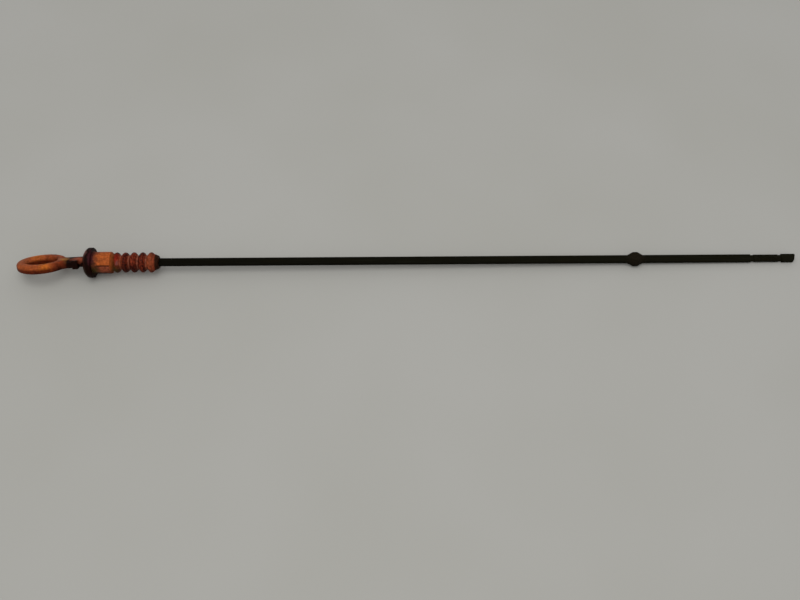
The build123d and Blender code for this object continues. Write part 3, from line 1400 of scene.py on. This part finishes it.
    def stains_and_painted_light(self) -> tuple[SoftPatch, ...]:
        """Lists the patches that use has left on the ring, neck, plug and ribs, and the shade and highlights
        painted there.

        Returns:
            The patches, the lowest first.
        """
        return (
            SoftPatch((-34.5, -10.1, 5.8), (6.0, 7.0, 7.0), Tone.AMBER, 0.9),
            SoftPatch((-50.5, 9.5, -7.0), (8.0, 6.0, 6.0), Tone.AMBER, 1.0),
            SoftPatch((-58.0, 0.0, -2.0), (6.0, 9.0, 9.0), Tone.FADED_PINK, 0.7),
            SoftPatch((-53.0, -1.0, 4.2), (3.2, 3.2, 2.6), Tone.RED_BROWN, 0.9),
            # Painted pink highlight on top where the ring runs into the neck
            SoftPatch((-25.7, 2.0, 3.4), (3.2, 4.5, 2.6), Tone.PINK_PAINTED_HIGHLIGHT, 0.55),
            SoftPatch((-33.0, 9.5, -7.2), (10.0, 7.0, 7.0), Tone.RED_BROWN, 0.95),
            SoftPatch((-27.5, -8.0, 5.8), (4.5, 6.0, 6.0), Tone.RED_BROWN, 0.7),
            SoftPatch((-25.5, -8.8, 1.8), (7.2, 5.4, 5.4), Tone.OIL_STAIN, 1.0),
            SoftPatch((-23.0, 1.0, 3.0), (4.5, 4.5, 3.5), Tone.OCHRE, 0.9),
            SoftPatch((-11.5, 1.5, 4.5), (6.4, 5.2, 3.6), Tone.RUST_FILM, 1.0),
            SoftPatch((-0.6, 0.0, 0.0), (6.0, 30.0, 30.0), Tone.ROOT_FILM, 1.0),
            SoftPatch((1.2, -8.0, 0.0), (6.2, 6.0, 7.0), Tone.OLIVE_SLUDGE, 1.0),
            # Painted shade along the plug's underside
            SoftPatch((7.5, -7.8, -4.2), (12.0, 4.4, 4.4), Tone.CAKED_GRIME_AND_SHADE, 1.0),
            SoftPatch((16.4, 0.0, 0.0), (2.0, 30.0, 30.0), Tone.BROWN_EDGE, 0.9),
            # Painted shade on the near, lower side of the ribs
            SoftPatch((27.0, -7.8, 0.0), (15.0, 6.0, 6.5), Tone.RIB_STAIN_AND_SHADE, 0.6),
            SoftPatch((19.2, -1.0, 7.0), (2.6, 6.0, 5.0), Tone.RIB_RED, 0.9),
            SoftPatch((18.2, -7.0, 0.0), (3.4, 4.4, 5.0), Tone.OLIVE_SLUDGE, 0.9),
            # Painted pink highlight on the top of the first rib
            SoftPatch((20.2, -4.8, 6.2), (1.8, 2.6, 2.6), Tone.PINK_PAINTED_HIGHLIGHT, 0.7),
            SoftPatch((21.8, -3.0, 6.0), (2.2, 8.0, 8.0), Tone.RIB_TIP, 0.4),
            SoftPatch((45.2, -3.0, 5.0), (3.6, 9.0, 9.0), Tone.RIB_TIP, 0.8),
        )

    def films_and_painted_light(self) -> tuple[SoftPatch, ...]:
        """Lists the patches of film and painted light that lie over the rest, on the ring's end, in its
        opening and on the caked flange.

        Returns:
            The patches of film and painted light, the lowest first.
        """
        return (
            SoftPatch((-61.4, -1.0, -2.4), (2.6, 10.0, 7.0), Tone.OLIVE_SLUDGE, 0.75),
            # Painted shade on the inner wall at the right end of the finger opening
            SoftPatch((-32.0, 4.2, -1.6), (4.6, 3.8, 3.2), Tone.OPENING_PAINTED_SHADE, 0.9),
            # Painted mauve sheen on the top of the flange's rim
            SoftPatch((-0.4, -2.5, 10.5), (1.9, 8.0, 5.0), Tone.MAUVE_PAINTED_SHEEN, 0.7),
            # Painted pink highlight on the top of the flange's dome
            SoftPatch((-5.0, 2.0, 10.0), (2.4, 3.4, 2.8), Tone.PINK_PAINTED_HIGHLIGHT, 0.6),
            SoftPatch((-5.5, -8.0, 2.0), (3.0, 5.0, 5.0), Tone.OLIVE_SLUDGE, 0.45),
        )

    def dress(self, handle: bpy.types.Object) -> None:
        """Gives the handle its grimy orange finish.

        Args:
            handle: The handle's object.
        """
        stops = (
            GrimeStop(-64.0, Tone.RING_ORANGE),
            GrimeStop(-30.0, Tone.RING_ORANGE),
            GrimeStop(-24.0, Tone.RED_BROWN),
            GrimeStop(-20.0, Tone.CAKED_GRIME_AND_SHADE),
            GrimeStop(-0.2, Tone.CAKED_GRIME_AND_SHADE),
            GrimeStop(1.0, Tone.CLEAN_ORANGE),
            GrimeStop(47.0, Tone.CLEAN_ORANGE),
            GrimeStop(48.5, Tone.COLLAR_STAIN),
            GrimeStop(56.0, Tone.COLLAR_STAIN),
        )
        opening = self.ring_length - 2 * self.ring_band
        finish = GrimyNylon(
            seam_turn=self.seam_turn,
            ring_plane=self.ring_plane,
            opening=(opening, self.ring_width - 2 * self.ring_band),
            opening_lead=self.ring_length / opening,
            plug_radius=self.plug_diameter / 2,
            plug_length=self.plug_length,
            rib_start=self.crests[0] - self.rib_round,
            rib_end=self.crests[-1] + self.rib_foot,
            rib_radius=self.rib_diameter / 2,
            rib_root=self.rib_root_diameter / 2,
            stops=stops,
            stains_and_painted_light=self.stains_and_painted_light(),
            films_and_painted_light=self.films_and_painted_light(),
        )
        handle.data.materials.clear()
        handle.data.materials.append(finish.build(self.stick))


@dataclass
class Rod:
    """The black moulding: shaft, guide olive, level notches, hatched zone and slanted head."""

    stick: StickFrame
    start: float
    reach: float = 559.2
    olive_station: float = 430.2
    olive_crown: float = 3.6
    olive_taper: float = 7.2

    def dress(self) -> None:
        """Gives the rod its oiled black finish."""
        finish = OiledBlackNylon(
            start=self.start,
            reach=self.reach,
            olive_station=self.olive_station,
            olive_half=self.olive_crown / 2 + self.olive_taper,
        )
        node = frame["nodes"]["rod"]
        node.data.materials.clear()
        node.data.materials.append(finish.build(self.stick))


def main() -> None:
    """Builds and dresses the dipstick and its studio."""
    logging.basicConfig(level=logging.INFO, format="%(name)s: %(message)s")
    bpy.context.scene.view_settings.view_transform = "Standard"
    stick = StickFrame.from_record(frame["record"])
    handle = Handle(stick)
    moulding = handle.build()
    handle.dress(moulding)
    LOG.info("handle built with %d faces", len(moulding.data.polygons))
    Rod(stick, handle.end).dress()
    LOG.info("rod dressed")
    studio = Studio()
    studio.floor()
    studio.lights()
    studio.camera()
    LOG.info("studio set")


if __name__ == "__main__":
    main()
